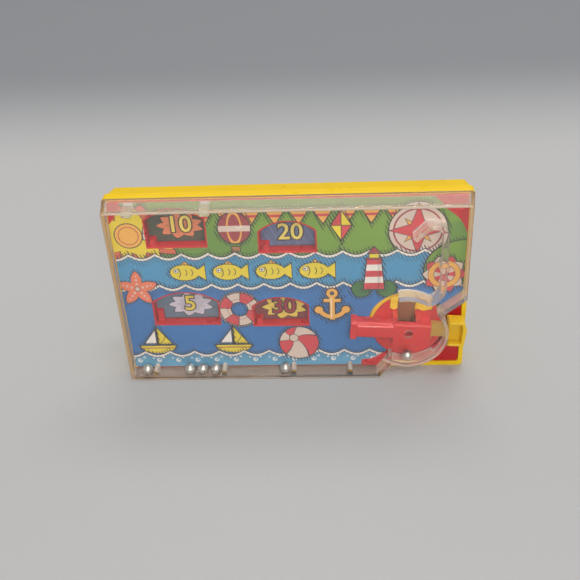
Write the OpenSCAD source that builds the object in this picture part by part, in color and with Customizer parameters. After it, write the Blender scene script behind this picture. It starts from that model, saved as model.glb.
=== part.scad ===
// Pocket dexterity game: a clear-fronted box where steel balls are loaded into a pivoting cannon.
// It stands on its long edge. X runs right, Y runs back from the clear front, Z runs up, in mm.

/* [Case] */
// Width over the flange of the rear case
case_w = 123.2; // [119:0.2:130]
// Height over the flange of the rear case
case_h = 72.1; // [69:0.1:78]
// Depth from the clear front to the back
case_d = 18.9; // [18:0.1:22]
// Corner radius of the flange
corner_r = 1.4; // [1.2:0.1:2.4]
// Wall of the rear case
case_wall = 1.6; // [1.2:0.1:2]
// Depth of the straight flange band
flange_d = 3.9; // [2:0.1:5]
// Step from the flange band to the tapered back
flange_step = 0.4; // [0.2:0.1:0.8]
// How far the back edge sits inside the flange
back_inset = 1.5; // [0.8:0.1:2.5]

/* [Clear cover] */
// Depth of the cover in front of the flange
cover_d = 7.4; // [7.2:0.1:8]
// How far the cover's front edge sits inside the flange
cover_draft = 1.1; // [0.5:0.1:1.5]
// Thickness of the cover's face and walls
cover_wall = 1.2; // [1:0.1:1.4]
// Width of the dividers and of the guide rib inside the cover
rib_w = 1.8; // [1.4:0.1:1.9]
// Height of the dividers between the ball pens
divider_h = 2.6; // [2:0.1:3.5]

/* [Balls] */
// Diameter of a steel ball
ball_d = 4; // [3.6:0.1:4.1]

/* [Tray] */
// Distance from the front to the tray's face
tray_face_d = 6.6; // [6.5:0.1:7]
// Thickness of the tray's face
tray_t = 1.2; // [0.8:0.1:1.4]
// Depth of a scoring pocket behind the tray's face
pocket_depth = 3.7; // [3:0.1:4.5]
// Thickness of the printed card and of the pocket labels
card_t = 0.2; // [0.15:0.05:0.3]

/* [Cannon] */
// Distance of the cannon's pivot from the right edge of the flange
pivot_from_right = 20.6; // [20.2:0.1:22]
// Height of the cannon's pivot
pivot_z = 19.3; // [19:0.1:22]
// Outer radius of the round wall about the cannon
chamber_r = 14; // [13.8:0.1:14.5]
// Tilt of the cannon at rest, muzzle up
rest_tilt = 4; // [0:0.5:6]
// Distance from the pivot to the muzzle
barrel_l = 20.4; // [18:0.1:22]
// Travel of the firing lever when it is pulled
lever_travel = 4; // [3:0.1:5]
// How far the cannon turns up from rest
aim_range = 30; // [20:1:32]

/* [Hidden] */
$fn = 64;
hull_fn = 32;
e = 0.01;
half_w = case_w / 2;
cover_top = case_h - cover_draft;
cover_r = 1.2;
edge_round = 0.35;
rib_end_d = tray_face_d - card_t - 0.2;
rib_sunk = cover_wall - 0.35;
floor_z = cover_wall;
card_face_d = tray_face_d - card_t;
fit_gap = 0.1;
run_gap = 0.05;
px = half_w - pivot_from_right;

// Corner of the cover cut away for the lever: two slanted walls that end on the round wall
low_run = 4.6;
low_rise = 6.5;
low_b = [px - 5.8, low_rise];
low_a = low_b - [low_run, low_rise];
high_from_edge = 9.1;
high_above = 8;
high_rise = 7.5;
high_a = [half_w - high_from_edge, pivot_z + high_above];
high_b = [half_w, pivot_z + high_above + high_rise];

// Post on top of the lower slanted wall
post_rib = low_b + [-0.3, 0.4];
post_w = 1.3;

// Ball pens: middle of each divider, and of the two stops under the top wall, from the left edge
divider_from_left = [10.3, 35.7, 61.4, 82];
stop_from_left = [9.5, 35];
stop_w = 3.2;
stop_h = 1.45;
stop_r = 0.4;

// Nub on the cover that the cannon turns on
nub_r = 1.4;

// Guide rib that carries balls round to the cannon: bend at its top, slant, bend at its foot
guide_x = px + 11.4;
guide_top = case_h - 13.6;
guide_bend = 3.8;
guide_slant = 5.4;
slant_angle = 45;
foot_bend = 6.9;
foot_above = 19;
foot_z = pivot_z + foot_above;
foot_angle = 66;
// Roof over the cannon, its centre from the pivot, and the round boss in the guide rib
roof_centre = [-0.8, 1.7];
roof_r = chamber_r - 0.6;
roof_from = 53;
roof_to = 102;
guide_boss_r = 1.6;
guide_boss_above = 27.1;

// Gap in the round wall for the lever, as angles below and above the level
gap_spare = 13;
gap_low = rest_tilt + aim_range + gap_spare;
gap_high = 10;

// Raised lane under the cannon that leads balls back to the pens, from the pivot and the floor
lane_start = [-16.4, 4.3];
lane_rise = [-12.5, 4.8];
lane_end = [-7.9, 7.8];
lane_inner = [-5, 10];
lane_edge = 0.5;
lane_h = 0.3;

// Bare top right corner of the card, from that corner: edge to the left, centre and radius of the end
notch_x = 15.2;
notch_foot = [8.8, 6.04];
notch_centre = [16.6, 19.2];
notch_r = 15.3;
// Bare top left corner of the card, from that corner
left_notch = [[7.4, 0], [4.5, 5.6], [1.6, 9.2], [0, 9.2]];
// Bare strip under the card
card_foot = 0.4;
// Where the card reaches in to the cannon's plate, as angles, and its gap to the plate
reach_from = 182;
reach_to = 236;
reach_gap = 0.15;

// Scoring pockets: left side from the left edge, bottom, width, height at the sides, height of the arch.
// The upper two are placed from the top, the lower two from the floor.
top_drop = [18.2, 20.95];
pockets = [
    [13.7, case_h - top_drop[0], 20, 10.3, 13.5],
    [52, case_h - top_drop[1], 18.8, 7.55, 11.45],
    [12.4, 21.4, 23, 9.35, 13.3],
    [48.05, 20.4, 19.15, 8.1, 11.65]
];
pocket_wall = 1;
pocket_back_d = tray_face_d + pocket_depth;
label_gap = 0.2;
frame_w = 0.6;
// Stop peg at the left of each pocket: place from the left side, width, height, front and back
peg_from_left = [0.5, 0.95, 0.4, 0.7];
peg_h = [2.4, 2.6, 4.6, 2.4];
peg_w = 2.1;
peg_front = [0.5, 0.5, 2.2, 0.5];

// Round well for the cannon
well_r = chamber_r + 0.4;
well_floor_d = 12.2;
well_wall = 1;
hub_r = 3;
hub_end_d = 9;
bay_d = 8;
bay_gap = 0.2;
bay_band = 3.4;
tray_r = 1.2;
skirt_r = 0.5;
tray_x = half_w - case_wall - fit_gap;
tray_z0 = case_wall + fit_gap;
tray_z1 = case_h - case_wall - fit_gap;
skirt_d = 2.4;
skirt_wall = 1.2;

// Case screws: places, bosses, heads
screw_x = half_w - 5;
screw_z = [5.6, case_h - 6.9];
screw_r = 0.9;
screw_head_r = 2.2;
screw_head_h = 1.1;
screw_sink = 1.5;
screw_tip_d = 9.6;
head_gap = 0.2;
cross_l = 2.6;
cross_w = 0.6;
cross_depth = 0.7;
boss_r = 2.1;
pad_r = 3.3;
pad_d = case_d - 3;
ring_r = 1;
ring_w = 0.4;
ring_h = 0.3;
ring_x = half_w - 4.2;
inner_r = 1.2;
back_round = 0.6;
deep_x = half_w - back_inset - case_wall;
deep_z = case_h - back_inset - case_wall;

// Cannon, measured from its pivot: X along the barrel, Z across it
gun_front_d = 1.5;
gun_back_d = 6.5;
gun_plate_d = 7.3;
barrel_back_d = card_face_d - 0.2;
barrel_h = 3.5;
bore_h = ball_d / 2 + 0.2;
bore_front_d = 2.2;
port_front_d = 3.2;
port_x0 = -4.2;
port_x1 = 2;
body_x0 = -5.3;
body_x1 = 7.8;
body_z0 = -5.2;
body_z1 = 3.7;
horn_top = 6.5;
plate_r = chamber_r - 1.3;
gusset_l = 3.8;
gusset_h = 2.2;
barrel_cut = 1.2;
muzzle_cut = 0.9;
muzzle_front_d = 1.35;
chute_w = [1.7, 1.9];
chute_lip = 0.6;
edge_cut = 0.6;
muzzle_l = 2.3;
muzzle_h = 4.2;
sweep_r = 8.6;

// Carrier behind the cannon
carrier_d0 = 7.5;
carrier_d1 = 9.1;
carrier_r = chamber_r - 0.1;
rim_inset = 0.2;
rim_from = 50;
rim_to = 184;
// Hollow in its front behind the loading port
port_sunk = 0.8;
port_sunk_z = 10;
collar_r = 5;
collar_d1 = 11;
lug_x0 = -6.8;
lug_x1 = 8;
lug_z = 6.8;
lug_inset = 0.4;
post_h = 1.2;
peg_places = [[-9.5, 6], [-7.5, -6.5]];
peg_r = 0.9;
peg_skin = 0.35;
// Axle that runs back through the well's floor, held there by a washer and a screw
axle_r = 1.8;
axle_d1 = well_floor_d + well_wall + run_gap;
washer_r = 3.9;
washer_t = 0.5;
pivot_screw_r = 0.9;
pivot_screw_l = 3.6;
pivot_head_r = 1.9;
pivot_head_h = 0.8;
pivot_slot = [2.4, 0.5];

// Firing lever
tongue_x0 = 2.3;
tongue_h = bore_h - fit_gap;
tongue_d0 = 2.5;
pin_x0 = 1.9;
pin_x1 = 6.5;
pin_d = 4.7;
pin_r = 1;
bar_x1 = 17.5;
bar_h = 2.6;
bar_d0 = 4.3;
bar_d1 = 7.2;
knob_x = chamber_r + 0.35;
knob_d0 = 0.5;
knob_d1 = 5.6;
knob_foot = [19.9, -4.2];
knob_tip = [20.2, 2.8];
knob_top = [19.2, 5.8];
scoop_rim = 0.8;
scoop_depth = 3.2;
slot_d = 4;
spring_z = -6.4;
spring_d = 10.6;
post_d1 = spring_d + 0.8;
tab_x0 = 6.5;
tab_x1 = 7.7;
web_x1 = 9.8;
web_top = 1;
tab_h = 1;
post_x0 = -9.4;
post_x1 = -8.2;
eye_r = 0.4;

// Lever spring
wire_r = 0.22;
coil_r = 0.95;
coil_turns = 12;
coil_steps = 8;
coil_x0 = -7;
coil_x1 = 5.2;
wire_sides = 6;
wire_end = 0.5;

function back(d) = d - case_d / 2;
function unit(v) = v / norm(v);
function left_of(v) = [-unit(v)[1], unit(v)[0]];
function pocket_mid(p) = p[0] + p[2] / 2 - half_w;

// Extrudes an outline drawn in X and Z from depth d0 to depth d1
module slab(d0, d1) {
    translate([0, back(d1), 0])
        rotate([90, 0, 0])
            linear_extrude(d1 - d0) children();
}

// Puts children drawn about the pivot at the cannon's rest tilt
module aimed() {
    translate([px, 0, pivot_z])
        rotate([0, rest_tilt, 0]) children();
}

// Round bar along X at depth d
module along_x(x0, x1, d, z, r) {
    translate([x0, back(d), z])
        rotate([0, 90, 0]) cylinder(h = x1 - x0, r = r);
}

// Box from x0 to x1, depth d0 to d1 and z0 to z1
module block(x0, x1, d0, d1, z0, z1) {
    translate([x0, back(d0), z0]) cube([x1 - x0, d1 - d0, z1 - z0]);
}

// Rectangle with round corners, with true arcs
module round_rect(x0, x1, z0, z1, r) {
    translate([x0 + r, z0]) square([x1 - x0 - 2 * r, z1 - z0]);
    translate([x0, z0 + r]) square([x1 - x0, z1 - z0 - 2 * r]);
    for (x = [x0 + r, x1 - r], z = [z0 + r, z1 - r])
        translate([x, z]) circle(r);
}

// Part of a ring between two angles
module arc_band(r, w, a0, a1) {
    far = 2 * r;
    mid = (a0 + a1) / 2;
    intersection() {
        difference() {
            circle(r + w / 2);
            circle(r - w / 2);
        }
        polygon([[0, 0], far * [cos(a0), sin(a0)], 2 * far * [cos(mid), sin(mid)], far * [cos(a1), sin(a1)]]);
    }
}

// Thin leaf with round corners for the tapered shells, flat at the bottom
module leaf(d, inset, z0, r) {
    x1 = half_w - inset;
    z1 = case_h - inset;
    translate([0, back(d), 0])
        rotate([90, 0, 0])
            linear_extrude(e)
                for (x = [-x1 + r, x1 - r], z = [z0 + r, z1 - r])
                    translate([x, z]) circle(r, $fn = hull_fn);
}

// Cover

// Area outside the slanted and round walls, drawn w inside the walls' outer faces
module corner_area(w) {
    low_dir = unit(low_b - low_a);
    high_dir = unit(high_b - high_a);
    low_n = w * left_of(low_dir);
    high_n = w * left_of(high_dir);
    far = 14;
    difference() {
        polygon([
            low_a + low_n - far * low_dir,
            low_b + low_n + 3 * low_dir,
            [px, pivot_z],
            high_a + high_n - 3 * high_dir,
            high_b + high_n + far * high_dir,
            [half_w + far, -far]
        ]);
        translate([px, pivot_z]) circle(chamber_r - w);
    }
}

module cover_block() {
    hull() {
        leaf(e, cover_draft + edge_round, edge_round, cover_r);
        leaf(edge_round, cover_draft - 0.05, 0, cover_r);
        leaf(cover_d, 0, 0, corner_r);
    }
}

module cover_hollow() {
    difference() {
        hull() {
            leaf(cover_wall, cover_draft + cover_wall, floor_z, cover_r - cover_wall / 2);
            leaf(cover_d + 1, cover_wall, floor_z, corner_r - cover_wall / 2);
        }
        slab(0, card_face_d) corner_area(cover_wall);
    }
}

// Rib that stands between pens
module divider(x, z, w) {
    slab(cover_wall - e, rib_end_d)
        translate([x, z]) {
            translate([-w / 2, -rib_sunk]) square([w, divider_h - w / 2 + rib_sunk]);
            translate([0, divider_h - w / 2]) circle(w / 2);
        }
}

// Block that hangs from the top wall
module top_stop(x) {
    z = cover_top - cover_wall;
    slab(cover_wall - e, rib_end_d)
        round_rect(x - stop_w / 2, x + stop_w / 2, z - stop_h, z + rib_sunk, stop_r);
}

module guide_rib() {
    slab(cover_wall - e, rib_end_d) {
        translate([px, pivot_z] + roof_centre) arc_band(roof_r, rib_w, roof_from, roof_to);
        translate([guide_x - foot_bend, foot_z]) arc_band(foot_bend, rib_w, -foot_angle, 1);
        translate([guide_x - rib_w / 2, foot_z]) square([rib_w, guide_top - foot_z]);
        translate([guide_x, pivot_z + guide_boss_above]) circle(guide_boss_r);
        translate([guide_x - guide_bend, guide_top]) {
            arc_band(guide_bend, rib_w, -1, 181 - slant_angle);
            translate(guide_bend * [-cos(slant_angle), sin(slant_angle)])
                rotate(180 + slant_angle) translate([-0.1, -rib_w / 2]) square([guide_slant, rib_w]);
        }
    }
}

// Gap in the round wall that the lever's bar sweeps
module lever_gap() {
    slab(slot_d, cover_d)
        translate([px, pivot_z])
            arc_band(chamber_r - cover_wall / 2, cover_wall + 0.6, -gap_low, gap_high);
}

module clear_cover() {
    color([0.86, 0.87, 0.86, 0.35]) {
        difference() {
            cover_block();
            cover_hollow();
            slab(-1, cover_d + 1) corner_area(0);
            lever_gap();
        }
        for (x = divider_from_left) divider(x - half_w, floor_z, rib_w);
        for (x = stop_from_left) top_stop(x - half_w);
        divider(post_rib[0], post_rib[1], post_w);
        guide_rib();
        // Nub that the cannon turns on
        slab(cover_wall - e, bore_front_d - 0.1) translate([px, pivot_z]) circle(nub_r);
    }
}

// Rear case

module rear_case() {
    flange_end = cover_d + flange_d;
    inner_x = half_w - case_wall;
    color([0.95, 0.80, 0.16])
        difference() {
            union() {
                difference() {
                    union() {
                        slab(cover_d, flange_end) round_rect(-half_w, half_w, 0, case_h, corner_r);
                        hull() {
                            leaf(flange_end, flange_step, 0, corner_r);
                            leaf(case_d - back_round, back_inset - 0.1, 0, corner_r);
                            leaf(case_d, back_inset + back_round - 0.1, back_round, corner_r);
                        }
                    }
                    slab(cover_d - 1, flange_end)
                        round_rect(-inner_x, inner_x, case_wall, case_h - case_wall, inner_r);
                    slab(flange_end - e, case_d - case_wall)
                        round_rect(-deep_x, deep_x, case_wall, deep_z, inner_r);
                }
                for (x = [-screw_x, screw_x], z = screw_z)
                    slab(pad_d, case_d - case_wall + e) translate([x, z]) circle(pad_r);
            }
            for (x = [-screw_x, screw_x], z = screw_z)
                translate([x, 0, z]) {
                    slab(case_d - screw_sink, case_d + 1) circle(screw_head_r + head_gap);
                    slab(pad_d - 1, case_d) circle(screw_r + run_gap);
                }
        }
}

// Four screws from the back into the tray
module case_screws() {
    head_d = case_d - screw_sink;
    cross_d = head_d + screw_head_h - cross_depth;
    color([0.62, 0.63, 0.65])
        for (x = [-screw_x, screw_x], z = screw_z)
            translate([x, 0, z])
                difference() {
                    union() {
                        slab(head_d, head_d + screw_head_h) circle(screw_head_r);
                        slab(screw_tip_d, head_d + e) circle(screw_r);
                    }
                    for (a = [0, 90])
                        slab(cross_d, case_d) rotate(a) square([cross_l, cross_w], center = true);
                }
}

// Inner tray

module tray_outline() {
    round_rect(-tray_x, tray_x, tray_z0, tray_z1, tray_r);
}

module pocket_outline(p, grow) {
    w = p[2] + 2 * grow;
    top = p[4] + grow;
    rise = p[4] - p[3];
    arch_r = (w * w / 4 + rise * rise) / (2 * rise);
    translate([pocket_mid(p), p[1]])
        intersection() {
            translate([-w / 2, -grow]) square([w, top + grow]);
            translate([0, top - arch_r]) circle(arch_r, $fn = 128);
        }
}

// Upright peg that stops a ball at the pocket's left
module pocket_peg(i) {
    p = pockets[i];
    x = p[0] - half_w + peg_from_left[i];
    sunk = 0.2;
    slab(tray_face_d + peg_front[i], pocket_back_d + sunk)
        translate([x, p[1] - sunk]) {
            square([peg_w, peg_h[i] - peg_w / 2 + sunk]);
            translate([peg_w / 2, peg_h[i] - peg_w / 2 + sunk]) circle(peg_w / 2);
        }
}

// Lane under the cannon that leads balls back to the pens
module return_lane(grow) {
    polygon([
        [px + lane_start[0] - grow, tray_z0],
        [px + lane_start[0] - grow, lane_start[1] + grow],
        [px + lane_rise[0], lane_rise[1] + grow],
        [px + lane_end[0] - grow / 2, lane_end[1] + grow],
        [px + lane_inner[0], lane_inner[1]],
        [px + lane_inner[0], tray_z0]
    ]);
}

// Part of the lane that stands up in front of the tray, clear of the cover's walls
module lane_ridge() {
    difference() {
        return_lane(-lane_edge);
        corner_area(cover_wall + fit_gap);
        translate([post_rib[0] - post_w / 2 - fit_gap, 0])
            square([post_w + 2 * fit_gap, post_rib[1] + divider_h + fit_gap]);
    }
}

module lever_bay() {
    intersection() {
        tray_outline();
        union() {
            corner_area(-bay_gap);
            translate([px, pivot_z]) arc_band(chamber_r, bay_band, -gap_low - 2, gap_high + 2);
        }
    }
}

// Boss for a case screw, flat where it meets the case's side
module screw_boss(x, z) {
    intersection() {
        translate([x, z]) circle(boss_r);
        round_rect(-deep_x + fit_gap, deep_x - fit_gap, case_wall + fit_gap, deep_z - fit_gap, 1);
    }
}

module axle_bore() {
    slab(hub_end_d - 1, axle_d1 + 1) translate([px, pivot_z]) circle(axle_r + run_gap);
}

module inner_tray() {
    color([0.80, 0.16, 0.17]) {
        difference() {
            union() {
                slab(tray_face_d, tray_face_d + tray_t) tray_outline();
                slab(tray_face_d + tray_t - e, tray_face_d + tray_t + skirt_d)
                    difference() {
                        tray_outline();
                        round_rect(-tray_x + skirt_wall, tray_x - skirt_wall,
                            tray_z0 + skirt_wall, tray_z1 - skirt_wall, skirt_r);
                    }
                for (p = pockets)
                    slab(tray_face_d + e, pocket_back_d + pocket_wall) pocket_outline(p, pocket_wall);
                slab(tray_face_d + e, well_floor_d + well_wall)
                    translate([px, pivot_z]) circle(well_r + well_wall);
                slab(tray_face_d + e, bay_d + tray_t) lever_bay();
                for (x = [-screw_x, screw_x], z = screw_z)
                    slab(tray_face_d + e, pad_d - fit_gap) screw_boss(x, z);
                slab(card_face_d - ring_h, tray_face_d + tray_t / 2)
                    translate([ring_x, screw_z[1]]) circle(ring_r);
                slab(card_face_d - lane_h, tray_face_d + tray_t / 2) lane_ridge();
            }
            for (p = pockets) slab(0, pocket_back_d) pocket_outline(p, 0);
            slab(0, well_floor_d) translate([px, pivot_z]) circle(well_r);
            slab(0, bay_d) lever_bay();
            for (x = [-screw_x, screw_x], z = screw_z)
                slab(tray_face_d + 2, pad_d + 1) translate([x, z]) circle(screw_r + run_gap / 2);
            slab(card_face_d - 1, tray_face_d - 0.1) translate([ring_x, screw_z[1]]) circle(ring_r - ring_w);
            axle_bore();
        }
        for (i = [0:3]) pocket_peg(i);
        difference() {
            slab(hub_end_d, well_floor_d + 0.5) translate([px, pivot_z]) circle(hub_r);
            axle_bore();
        }
    }
}

// Print

// Top right corner that the card leaves bare over a case boss
module card_corner() {
    centre = [half_w - notch_centre[0], case_h - notch_centre[1]];
    difference() {
        polygon([
            [half_w - notch_x, case_h],
            [half_w - notch_foot[0], case_h - notch_foot[1]],
            centre,
            [half_w, centre[1]],
            [half_w, case_h]
        ]);
        translate(centre) circle(notch_r);
    }
}

// Round hole for the cannon, smaller below the barrel where the card reaches in over the well
module card_hole() {
    far = 2 * well_r;
    difference() {
        circle(well_r + fit_gap);
        difference() {
            polygon([
                [0, 0],
                far * [cos(reach_from), sin(reach_from)],
                [-far, -far],
                far * [cos(reach_to), sin(reach_to)]
            ]);
            circle(plate_r + reach_gap);
        }
    }
}

module printed_card() {
    color([0.40, 0.62, 0.62])
        slab(card_face_d, tray_face_d - e)
            difference() {
                round_rect(-tray_x + fit_gap, tray_x - fit_gap, tray_z0 + card_foot, tray_z1 - fit_gap, tray_r);
                for (p = pockets) pocket_outline(p, frame_w);
                translate([px, pivot_z]) card_hole();
                corner_area(-fit_gap);
                return_lane(0);
                card_corner();
                translate([-half_w, case_h]) polygon([[0, 0], for (p = left_notch) [p[0], -p[1]]]);
            }
}

module pocket_label(i) {
    color([0.85, 0.74, 0.30])
        slab(pocket_back_d - card_t, pocket_back_d - e)
            difference() {
                pocket_outline(pockets[i], -label_gap);
                translate([pockets[i][0] - half_w - 1, pockets[i][1] - 1])
                    square([peg_from_left[i] + peg_w + 1 + fit_gap, peg_h[i] + 1 + fit_gap]);
            }
}

// Cannon

// Section of the barrel across its length, depth against height
module barrel_section(front, h, cut) {
    polygon([
        [back(barrel_back_d), -h],
        [back(barrel_back_d), h],
        [back(front + cut), h],
        [back(front), h - cut],
        [back(front), -h + 1.3 * cut],
        [back(front + 1.3 * cut), -h]
    ]);
}

module along(x0, x1) {
    translate([x0, 0, 0]) rotate([90, 0, 90]) linear_extrude(x1 - x0) children();
}

module body_outline() {
    intersection() {
        translate([body_x0, body_z0]) square([body_x1 - body_x0, body_z1 - body_z0]);
        union() {
            circle(sweep_r);
            translate([body_x0, -bore_h]) square([body_x1 - body_x0, body_z1 + bore_h]);
        }
    }
}

module gun_plate() {
    difference() {
        circle(plate_r);
        // Room for the carrier's lugs, for a ball that drops into the port and for the lever's bar
        translate([lug_x0 - fit_gap, lug_z]) square([lug_x1 - lug_x0 + 2 * fit_gap, plate_r]);
        translate([port_x0, -bore_h]) square([port_x1 - port_x0, 2 * plate_r]);
        translate([body_x1 + 0.1, -bar_h - fit_gap]) square([plate_r, 2 * (bar_h + fit_gap)]);
    }
}

module gun_body() {
    color([0.86, 0.22, 0.20])
        aimed() {
            difference() {
                union() {
                    along(-barrel_l, body_x0 + 1) barrel_section(gun_front_d, barrel_h, barrel_cut);
                    along(-barrel_l, -barrel_l + muzzle_l) barrel_section(muzzle_front_d, muzzle_h, muzzle_cut);
                    slab(gun_front_d, gun_back_d + e) body_outline();
                    slab(gun_back_d, gun_plate_d) gun_plate();
                    // Walls of the loading chute, and the bead at its foot
                    for (x = [[port_x0 - chute_w[0], port_x0], [port_x1, port_x1 + chute_w[1]]])
                        block(x[0], x[1], bore_front_d, gun_back_d + e, body_z1 - 1, horn_top);
                    block(port_x0, port_x1, bore_front_d + 0.2, port_front_d, body_z1 - e, body_z1 + chute_lip);
                    // Gusset at the left of the chute
                    slab(port_front_d, gun_back_d)
                        translate([port_x0 - chute_w[0] + e, barrel_h - e])
                            polygon([[-gusset_l, 0], [0, 0], [0, gusset_h]]);
                }
                // Bore, open to the back over the card
                along_x(-barrel_l - 1, port_x0, bore_front_d + bore_h, 0, bore_h);
                block(-barrel_l - 1, port_x0 + e, bore_front_d + bore_h, gun_back_d, -bore_h, bore_h);
                // Loading port
                block(port_x0 - e, port_x1 + e, port_front_d, gun_plate_d + 1, -bore_h, body_z1 + 1);
                // Slide way of the lever's tongue
                block(port_x1, body_x1 + 1, bore_front_d, gun_back_d, -bore_h, bore_h);
                // Front bearing
                slab(gun_front_d - 1, port_front_d + e) circle(nub_r + run_gap);
                // Blind holes for the carrier's pegs
                for (p = peg_places)
                    slab(gun_back_d + peg_skin, gun_plate_d + 1) translate(p) circle(peg_r + run_gap);
                // Chamfers on the front of the receiver
                translate([0, back(gun_front_d), body_z1])
                    rotate([45, 0, 0]) cube([2 * barrel_l, edge_cut, edge_cut], center = true);
            }
        }
}

// Lug that stands up beside the chute, flush with the cannon's plate
module lug(x0, x1) {
    intersection() {
        circle(carrier_r - lug_inset);
        union() {
            translate([x0, lug_z + (x1 - x0) / 2]) square([x1 - x0, carrier_r]);
            translate([(x0 + x1) / 2, lug_z + (x1 - x0) / 2]) circle((x1 - x0) / 2);
        }
    }
}

// Disc a little smaller than the plate, with a wider rim from the right lug round to the barrel
module carrier_disc() {
    far = 2 * carrier_r;
    circle(plate_r - rim_inset);
    intersection() {
        circle(carrier_r);
        polygon([
            [0, 0],
            far * [cos(rim_from), sin(rim_from)],
            [0, far],
            far * [cos(rim_to), sin(rim_to)]
        ]);
    }
}

module gun_carrier() {
    color([0.90, 0.72, 0.15])
        aimed() {
            difference() {
                union() {
                    slab(carrier_d0, carrier_d1) carrier_disc();
                    slab(carrier_d1 - e, collar_d1) circle(collar_r);
                    slab(gun_back_d, carrier_d0 + e) {
                        lug(lug_x0, port_x0 - fit_gap);
                        lug(port_x1 + fit_gap, lug_x1);
                    }
                    for (p = peg_places)
                        slab(gun_back_d + peg_skin + run_gap, carrier_d0 + e) translate(p) circle(peg_r);
                    slab(carrier_d1 - e, axle_d1) circle(axle_r);
                    block(post_x0, post_x1, carrier_d1 - e, post_d1, spring_z - post_h, spring_z + post_h);
                }
                block(port_x0 - fit_gap, port_x1 + fit_gap, carrier_d0 - 1, carrier_d0 + port_sunk,
                    -bore_h, port_sunk_z);
                // Groove that turns on the tray's hub, and the screw hole in the axle
                slab(hub_end_d - run_gap, collar_d1 + 1)
                    difference() {
                        circle(hub_r + run_gap);
                        circle(axle_r);
                    }
                slab(axle_d1 - pivot_screw_l - 0.3, axle_d1 + 1) circle(pivot_screw_r + run_gap / 2);
                // Slot for the lever's web, long enough for its travel
                block(tab_x0 - 0.3, web_x1 + lever_travel + 0.3, carrier_d0 - 1, carrier_d1 + 1,
                    spring_z - tab_h - 0.3, -web_top + 0.3);
                along_x(post_x0 - 1, post_x1 + 1, spring_d, spring_z, eye_r);
            }
        }
}

module carrier_washer() {
    color([0.70, 0.71, 0.72])
        aimed()
            slab(axle_d1 + e, axle_d1 + washer_t)
                difference() {
                    circle(washer_r);
                    circle(pivot_screw_r + fit_gap);
                }
}

module carrier_screw() {
    head_d = axle_d1 + washer_t + e;
    color([0.60, 0.61, 0.63])
        aimed()
            difference() {
                union() {
                    slab(head_d, head_d + pivot_head_h) circle(pivot_head_r);
                    slab(axle_d1 - pivot_screw_l, head_d + e) circle(pivot_screw_r);
                }
                slab(head_d + pivot_head_h / 2, case_d) square(pivot_slot, center = true);
            }
}

// Lever

module knob_outline() {
    difference() {
        polygon([[knob_x - 1, knob_foot[1]], knob_foot, knob_tip, knob_top, [knob_x - 2, knob_top[1]]]);
        circle(knob_x);
    }
}

module firing_lever() {
    color([0.93, 0.75, 0.14])
        aimed()
            difference() {
                union() {
                    // Tongue in the receiver, bar through the wall, and knob outside it
                    block(tongue_x0, body_x1 + 0.5, tongue_d0, gun_back_d - 0.2, -tongue_h, tongue_h);
                    block(body_x1 + 0.3, bar_x1, bar_d0, bar_d1, -bar_h, bar_h);
                    slab(knob_d0, knob_d1) knob_outline();
                    // Web and tab that reach back through the carrier to the spring
                    block(body_x1 + 0.5, web_x1, bar_d1 - e, carrier_d0, -bar_h, -web_top);
                    slab(carrier_d0 - e, carrier_d1)
                        polygon([
                            [tab_x0, -web_top],
                            [tab_x0, spring_z - tab_h],
                            [tab_x1, spring_z - tab_h],
                            [web_x1, -bar_h],
                            [web_x1, -web_top]
                        ]);
                    block(tab_x0, tab_x1, carrier_d1 - e, post_d1, spring_z - tab_h, spring_z + tab_h);
                }
                // Scoop in the front of the knob
                slab(knob_d0 - 1, knob_d0 + scoop_depth)
                    polygon([
                        [knob_x - 1, knob_foot[1] + scoop_rim],
                        [knob_foot[0] - 1, knob_foot[1] + scoop_rim],
                        [knob_tip[0] - 1.4, knob_tip[1] - 0.4],
                        [knob_top[0] - scoop_rim, knob_top[1] - scoop_rim],
                        [knob_x - 1, knob_top[1] - scoop_rim]
                    ]);
                along_x(tab_x0 - 1, tab_x1 + 1, spring_d, spring_z, eye_r);
                along_x(tongue_x0 - 1, pin_x1 + 0.1, pin_d, 0, pin_r + 0.02);
            }
}

module striker_pin() {
    color([0.75, 0.76, 0.78])
        aimed() along_x(pin_x0, pin_x1, pin_d, 0, pin_r);
}

// One wire: a straight end, the coils and a straight end, through the eyes of the post and the tab
coil_pitch = (coil_x1 - coil_x0) / coil_turns;
wire_path = concat(
    [[post_x0 - wire_end, 0, 0], [post_x1 + 0.3, 0, 0], [coil_x0 - 0.5, 0, coil_r / 2]],
    [for (i = [0:coil_turns * coil_steps])
        let (a = 360 * i / coil_steps)
            [coil_x0 + coil_pitch * i / coil_steps, coil_r * sin(a), coil_r * cos(a)]],
    [[coil_x1 + 0.5, 0, coil_r / 2], [tab_x0 - 0.3, 0, 0], [tab_x1 + wire_end, 0, 0]]
);
// Least gap between one turn of the wire and the next
coil_gap = min([for (i = [0:coil_turns * coil_steps - coil_steps])
    norm(wire_path[i + 3 + coil_steps] - wire_path[i + 3])]) - 2 * wire_r;
echo(coil_gap = coil_gap);

function wire_dir(i) = unit(wire_path[min(i + 1, len(wire_path) - 1)] - wire_path[max(i - 1, 0)]);
function wire_side(i) = unit(cross(wire_dir(i), [0.31, 0.95, 0.02]));

module lever_spring() {
    n = len(wire_path);
    points = [for (i = [0:n - 1], k = [0:wire_sides - 1])
        let (a = 360 * k / wire_sides, s = wire_side(i), t = cross(wire_dir(i), s))
            wire_path[i] + wire_r * (cos(a) * s + sin(a) * t)];
    sides = [for (i = [0:n - 2], k = [0:wire_sides - 1])
        let (a = i * wire_sides + k, b = i * wire_sides + (k + 1) % wire_sides)
            each [[a, b, b + wire_sides], [a, b + wire_sides, a + wire_sides]]];
    caps = [for (k = [1:wire_sides - 2])
        each [[0, k + 1, k], [(n - 1) * wire_sides, (n - 1) * wire_sides + k, (n - 1) * wire_sides + k + 1]]];
    color([0.70, 0.71, 0.73])
        aimed() translate([0, back(spring_d), spring_z]) polyhedron(points, concat(sides, caps));
}

// Balls

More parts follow.
